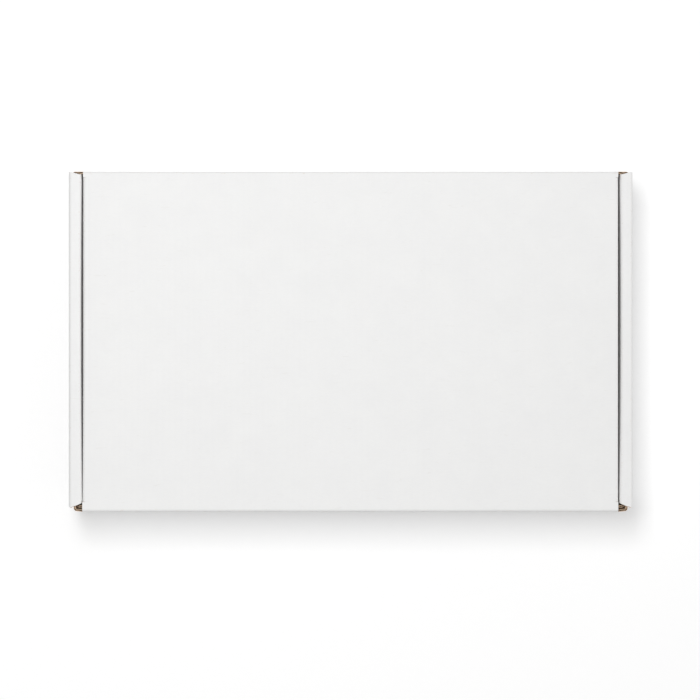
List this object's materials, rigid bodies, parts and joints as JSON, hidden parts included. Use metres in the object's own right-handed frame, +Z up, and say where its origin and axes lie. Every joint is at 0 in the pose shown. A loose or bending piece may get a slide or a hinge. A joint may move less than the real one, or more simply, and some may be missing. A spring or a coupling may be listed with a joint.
{
  "type": "corrugated mailer box",
  "caption": "Shallow white corrugated mailer box folded from one sheet, with rolled double side walls, a hinged lid with side flaps, and a front flap with ears.",
  "frame": {"origin": "middle of the closed box's footprint, on the surface that it stands on", "axes": "+X along the width to the right, +Y towards the back wall with the lid's hinge, +Z up"},
  "size_m": [0.3, 0.181, 0.05],
  "materials": {
    "white_board": "matt white liner outside",
    "kraft_board": "matt brown liner inside and at the raw edges"
  },
  "bodies": {
    "tray": {"tray": "white_board"},
    "lid": {"lid": "white_board"},
    "front_flap": {"front_flap": "white_board"}
  },
  "joints": [
    {"name": "lid_hinge", "type": "hinge", "parent": "tray", "child": "lid", "pos_m": [0, 0.0905, 0.05], "axis": [-1, 0, 0], "range_deg": [0, 180]},
    {"name": "front_flap_hinge", "type": "hinge", "parent": "lid", "child": "front_flap", "pos_m": [0, -0.0905, 0.05], "axis": [-1, 0, 0], "range_deg": [0, 90]}
  ]
}
